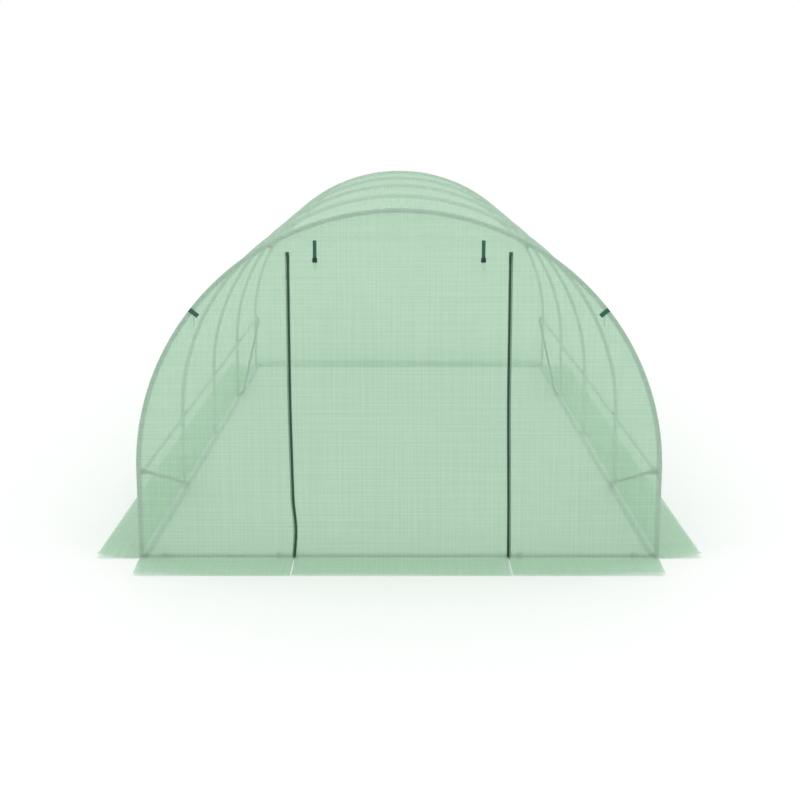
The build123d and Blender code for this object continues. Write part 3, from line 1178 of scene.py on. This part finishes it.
# %% Shader group: woven tape
def make_weave_group():
    """Threads both ways at a pitch, each a little lighter or darker than its neighbours."""
    group, entry, exit_node = new_group(
        "woven_tape",
        [
            ("Vector", "NodeSocketVector", None),
            ("Pitch", "NodeSocketFloat", 0.012),
            ("Thread", "NodeSocketFloat", 0.12),
        ],
        [("Threads", "NodeSocketFloat"), ("Streaks", "NodeSocketFloat")],
    )
    t = Tree(group)
    parts = t.add("ShaderNodeSeparateXYZ", {0: entry.outputs["Vector"]})
    masks, tones = [], []
    for axis in ("X", "Y"):
        count = t.math("DIVIDE", parts.outputs[axis], entry.outputs["Pitch"])
        off = t.math("ABSOLUTE", t.math("SUBTRACT", t.math("FRACT", count), 0.5))
        masks.append(t.ramp(off, 0.0, entry.outputs["Thread"], 1.0, 0.0))
        stripes = (90.0, 1.2, 1.0) if axis == "X" else (1.2, 90.0, 1.0)
        tones.append(t.noise(entry.outputs["Vector"], 1.0, 3.0, stripes))
    t.feed(t.math("MAXIMUM", *masks), exit_node.inputs["Threads"])
    t.feed(t.math("MULTIPLY", t.math("ADD", *tones), 0.5), exit_node.inputs["Streaks"])
    return group


weave_group = make_weave_group()
print("group", weave_group.name)


# %% [markdown]
# No hard surface has one flat colour. This group gives a fine grain and wider clouds from the same
# place, and each finish below turns them into small changes of colour, gloss and height.

# %% Shader group: grain
def make_grain_group():
    """Fine grain at a scale with larger clouds over it: a mask for colour and one for gloss."""
    group, entry, exit_node = new_group(
        "fine_grain",
        [("Vector", "NodeSocketVector", None), ("Scale", "NodeSocketFloat", 200.0)],
        [("Grain", "NodeSocketFloat"), ("Clouds", "NodeSocketFloat")],
    )
    t = Tree(group)
    fine = t.noise(entry.outputs["Vector"], entry.outputs["Scale"], 3.0)
    coarse = t.math("DIVIDE", entry.outputs["Scale"], 14.0)
    wide = t.noise(entry.outputs["Vector"], coarse, 2.0)
    t.feed(t.ramp(fine, 0.3, 0.7), exit_node.inputs["Grain"])
    t.feed(t.ramp(wide, 0.35, 0.65), exit_node.inputs["Clouds"])
    return group


grain_group = make_grain_group()
print("group", grain_group.name)


# %% [markdown]
# The film is clear green tape woven and coated on both sides. Some light goes straight through,
# which is why the hoops show as soft lines, some scatters through and some scatters back. So the
# material mixes three shaders: a Principled for the coated face, a Translucent for the glow, and a
# tinted Transparent for the see-through part. The weave makes the threads denser than the film
# between them. Hems are the same film twice, so they are made by the same steps with less glow.
# Doubled film is paler, and the hem's colour is lightened further as painted light, so that it
# shows as bright as the glowing film where a tube shades it from behind.

# %% Film materials
film_tint = (0.84, 0.93, 0.87, 1)


def new_material(name):
    material = bpy.data.materials.new(name)
    material.use_nodes = True
    material.node_tree.nodes.clear()
    tree = Tree(material.node_tree)
    output = tree.add("ShaderNodeOutputMaterial")
    return material, tree, output.inputs["Surface"]


def make_film(name, light, deep, solid_low, solid_high, glow_share):
    """Film: its thread colours, how solid it is between threads and on them, and its glow."""
    material, t, surface = new_material(name)
    cloth = t.add("ShaderNodeUVMap", uv_map="film").outputs["UV"]
    inputs = {"Vector": cloth, "Pitch": 0.010, "Thread": 0.16}
    weave = t.add("ShaderNodeGroup", inputs, node_tree=weave_group)
    streaks = weave.outputs["Streaks"]
    patches = t.ramp(t.noise(cloth, 1.7, 2.0), 0.40, 0.62)
    threads = t.math("MULTIPLY", weave.outputs["Threads"], patches)
    blotch = t.math("MULTIPLY", t.noise(cloth, 2.2, 3.0), 0.2)
    tone = t.math("ADD", t.math("MULTIPLY", streaks, 0.8), blotch)
    base = t.mix(t.ramp(tone, 0.34, 0.66), (*deep, 1), (*light, 1))
    colour = t.mix(t.math("MULTIPLY", threads, 0.3), base, (*light, 1))
    face = t.add("ShaderNodeBsdfPrincipled", {
        "Base Color": colour, "Roughness": 0.5, "Specular IOR Level": 0.3,
        "Normal": t.bump(t.math("ADD", threads, streaks), 0.25, 0.0006),
    })
    glow = t.add("ShaderNodeBsdfTranslucent", {"Color": colour})
    clear = t.add("ShaderNodeBsdfTransparent", {"Color": film_tint})
    solid = t.ramp(tone, 0.34, 0.66, solid_low, solid_high)
    solid = t.math("ADD", solid, t.math("MULTIPLY", threads, 0.07))
    inputs = {0: glow_share, 1: face.outputs[0], 2: glow.outputs[0]}
    body = t.add("ShaderNodeMixShader", inputs)
    inputs = {0: solid, 1: clear.outputs[0], 2: body.outputs[0]}
    t.feed(t.add("ShaderNodeMixShader", inputs).outputs[0], surface)
    return material


def dress(piece, *materials):
    """Give a piece these materials and no others."""
    piece.data.materials.clear()
    for material in materials:
        piece.data.materials.append(material)


film_material, hem_material_painted_light, tie_material = (make_film(*look) for look in (
    ("woven_film", (0.56, 0.74, 0.595), (0.495, 0.675, 0.53), 0.55, 0.63, 0.48),
    # Paler because the film is doubled, and lighter still as painted light in place of the glow
    # that a tube takes away.
    ("doubled_film_painted_light", (0.76, 0.92, 0.79), (0.71, 0.87, 0.74), 0.88, 0.94, 0.08),
    ("tie_film", (0.88, 0.96, 0.90), (0.82, 0.92, 0.85), 0.90, 0.95, 0.4),
))
for piece in (cover, rear, front, door):
    dress(piece, film_material, hem_material_painted_light)
for piece in tie_pieces:
    dress(piece, tie_material)
print("film on", 4 + len(tie_pieces), "pieces")


# %% [markdown]
# Webbing and zip tape are woven too, far finer than the film, so they use the same weave group at
# their own pitch. Their map is in metres along the strip, and the weave turns with the strip.

# %% Webbing and tape
def make_woven(name, light, deep, pitch, roughness):
    material, t, surface = new_material(name)
    cloth = t.add("ShaderNodeUVMap", uv_map="film").outputs["UV"]
    inputs = {"Vector": cloth, "Pitch": pitch, "Thread": 0.3}
    weave = t.add("ShaderNodeGroup", inputs, node_tree=weave_group)
    tone = t.math("ADD", weave.outputs["Threads"], weave.outputs["Streaks"])
    shader = t.add("ShaderNodeBsdfPrincipled", {
        "Base Color": t.mix(t.ramp(tone, 0.4, 1.5), (*deep, 1), (*light, 1)),
        "Roughness": roughness, "Sheen Weight": 0.05,
        "Normal": t.bump(weave.outputs["Threads"], 0.5, 0.0004),
    })
    t.feed(shader.outputs[0], surface)
    return material


webbing_material = make_woven(
    "green_webbing", (0.024, 0.135, 0.085), (0.009, 0.06, 0.038), 0.0016, 0.75,
)
tape_material = make_woven("zip_tape", (0.02, 0.105, 0.05), (0.008, 0.05, 0.025), 0.0011, 0.8)
dress(straps, webbing_material)
dress(tabs, webbing_material)
dress(tapes, tape_material)
print("webbing and tape done")


# %% [markdown]
# Everything else is hard or hair-fine: zinc, plastic, painted metal and thread. They share the
# grain group, which breaks up colour and gloss at each one's own scale. Zinc gets its frosty
# crystals from a Voronoi texture besides. The braces lie close to the wall behind them and would be
# lost against it, so their zinc is darker, as painted shade.

# %% Hard finishes
def make_grained(name, light, deep, roughness, metallic, scale):
    """A finish whose colour and gloss vary with grain, with a slightly uneven surface."""
    material, t, surface = new_material(name)
    place = t.add("ShaderNodeTexCoord").outputs["Object"]
    inputs = {"Vector": place, "Scale": scale}
    grain = t.add("ShaderNodeGroup", inputs, node_tree=grain_group)
    both = t.math("ADD", grain.outputs["Grain"], grain.outputs["Clouds"])
    tone = t.math("MULTIPLY", both, 0.5)
    shader = t.add("ShaderNodeBsdfPrincipled", {
        "Metallic": metallic, "Base Color": t.mix(tone, (*deep, 1), (*light, 1)),
        "Roughness": t.ramp(tone, 0.0, 1.0, roughness * 1.2, roughness * 0.85),
        "Normal": t.bump(grain.outputs["Grain"], 0.3, 0.00005),
    })
    t.feed(shader.outputs[0], surface)
    return material, t, shader, tone


def make_zinc(name, light, deep):
    material, t, shader, tone = make_grained(name, light, deep, 0.45, 0.6, 260.0)
    place = t.add("ShaderNodeTexCoord").outputs["Object"]
    crystals = t.add("ShaderNodeTexVoronoi", {"Vector": place, "Scale": 140.0}, feature="F1")
    shade = t.add("ShaderNodeSeparateColor", {0: crystals.outputs["Color"]})
    frost = t.math("MULTIPLY", shade.outputs[0], 0.6)
    spangle = t.math("ADD", frost, t.math("MULTIPLY", tone, 0.4))
    t.feed(t.mix(spangle, (*deep, 1), (*light, 1)), shader.inputs["Base Color"])
    t.feed(t.ramp(spangle, 0.0, 1.0, 0.52, 0.34), shader.inputs["Roughness"])
    return material


zinc_material = make_zinc("galvanised_steel", (0.74, 0.76, 0.77), (0.50, 0.52, 0.53))
# The same zinc, made darker: painted shade, so that the braces stand out against the wall.
brace_material_painted_shade = make_zinc("brace_steel_painted_shade", (0.36, 0.38, 0.38), (0.22, 0.24, 0.24))
# Light and dark colour, roughness, metallic and the scale of the grain.
hard_looks = {
    "zip_plastic": ((0.018, 0.095, 0.05), (0.010, 0.062, 0.032), 0.38, 0.0, 500.0),
    "slider_paint": ((0.03, 0.11, 0.065), (0.015, 0.065, 0.038), 0.35, 0.3, 400.0),
    "black_plastic": ((0.02, 0.02, 0.022), (0.009, 0.009, 0.011), 0.42, 0.0, 600.0),
    "milky_plastic": ((0.40, 0.56, 0.45), (0.34, 0.50, 0.39), 0.32, 0.0, 120.0),
    "film_thread": ((0.34, 0.50, 0.38), (0.27, 0.42, 0.31), 0.6, 0.0, 900.0),
    "trim_thread": ((0.05, 0.24, 0.16), (0.03, 0.15, 0.10), 0.6, 0.0, 900.0),
    "thread_end": ((0.12, 0.26, 0.18), (0.08, 0.20, 0.13), 0.6, 0.0, 900.0),
    # The nuts' zinc is much darker than the tubes': painted shade, so that the joints show as small
    # dark spots.
    "nut_zinc_painted_shade": ((0.24, 0.25, 0.26), (0.13, 0.14, 0.145), 0.5, 0.7, 350.0),
    "studio_floor": ((0.865, 0.865, 0.865), (0.855, 0.855, 0.855), 0.9, 0.0, 30.0),
}
hard = {name: make_grained(name, *look)[0] for name, look in hard_looks.items()}
for piece, name in (
    (teeth, "zip_plastic"), (nuts, "nut_zinc_painted_shade"), (strap_loops, "milky_plastic"),
    (head_stitches, "film_thread"), (zip_stitches, "film_thread"),
    (trim_stitches, "trim_thread"), (floor, "studio_floor"),
    *((thread, "thread_end") for thread in threads),
):
    dress(piece, hard[name])
print("hard finishes", len(hard) + 2)

# %% [markdown]
# The frame's own parts keep their shapes. Each gets the finish of the material slot it came with,
# but the braces get the darker zinc with painted shade.

# %% Finish what the frame brought
finish_of = {
    "zip_tape": tape_material,
    "zip_slider": hard["slider_paint"],
    "green_webbing": webbing_material,
    "black_plastic": hard["black_plastic"],
    "clear_plastic": hard["milky_plastic"],
    "green_film": film_material,
    "galvanised_tube": zinc_material,
}
for part in frame["record"]["subparts"]:
    finish = finish_of[part["material_slot"]]
    # The braces take the zinc that is darkened as painted shade.
    if part["node"].endswith("_braces"):
        finish = brace_material_painted_shade
    for holder in frame["nodes"][part["node"]].material_slots:
        holder.material = finish
